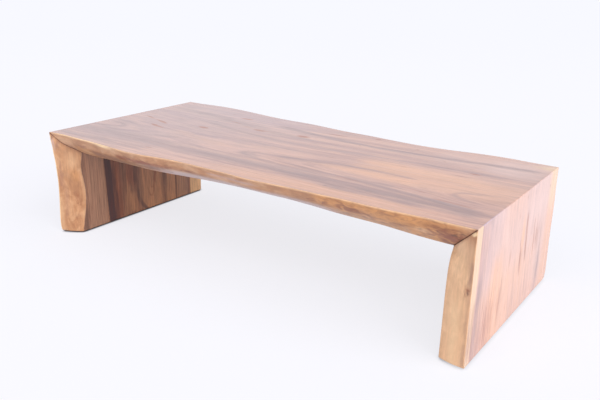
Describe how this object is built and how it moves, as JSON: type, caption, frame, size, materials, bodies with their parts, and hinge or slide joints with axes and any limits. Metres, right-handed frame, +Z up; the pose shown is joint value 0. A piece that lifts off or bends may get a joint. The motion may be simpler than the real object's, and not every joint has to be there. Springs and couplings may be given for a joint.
{
  "type": "coffee table",
  "caption": "Low live-edge coffee table: one thick wooden slab folded down over two mitred corners into full-width legs, on hidden glides.",
  "frame": {"origin": "on the floor, under the middle of the table's overall box", "axes": "+X along the table to its right end, +Y to its back, +Z up"},
  "size_m": [1.68, 0.7892, 0.404],
  "materials": {
    "slab_wood": "satin varnish over warm brown, streaked tropical hardwood",
    "tenon_wood": "plain sawn hardwood",
    "glide_nylon": "dark brown moulded nylon",
    "screw_steel": "zinc-plated steel"
  },
  "bodies": {
    "root": {"top_slab": "slab_wood", "left_leg_slab": "slab_wood", "right_leg_slab": "slab_wood", "left_mitre_tenon_1": "tenon_wood", "left_mitre_tenon_2": "tenon_wood", "left_mitre_tenon_3": "tenon_wood", "left_mitre_tenon_4": "tenon_wood", "left_mitre_tenon_5": "tenon_wood", "left_mitre_tenon_6": "tenon_wood", "right_mitre_tenon_1": "tenon_wood", "right_mitre_tenon_2": "tenon_wood", "right_mitre_tenon_3": "tenon_wood", "right_mitre_tenon_4": "tenon_wood", "right_mitre_tenon_5": "tenon_wood", "right_mitre_tenon_6": "tenon_wood", "left_glide_1": "glide_nylon", "left_glide_2": "glide_nylon", "left_glide_3": "glide_nylon", "left_glide_4": "glide_nylon", "right_glide_1": "glide_nylon", "right_glide_2": "glide_nylon", "right_glide_3": "glide_nylon", "right_glide_4": "glide_nylon", "left_glide_screws": "screw_steel", "right_glide_screws": "screw_steel"}
  },
  "joints": []
}
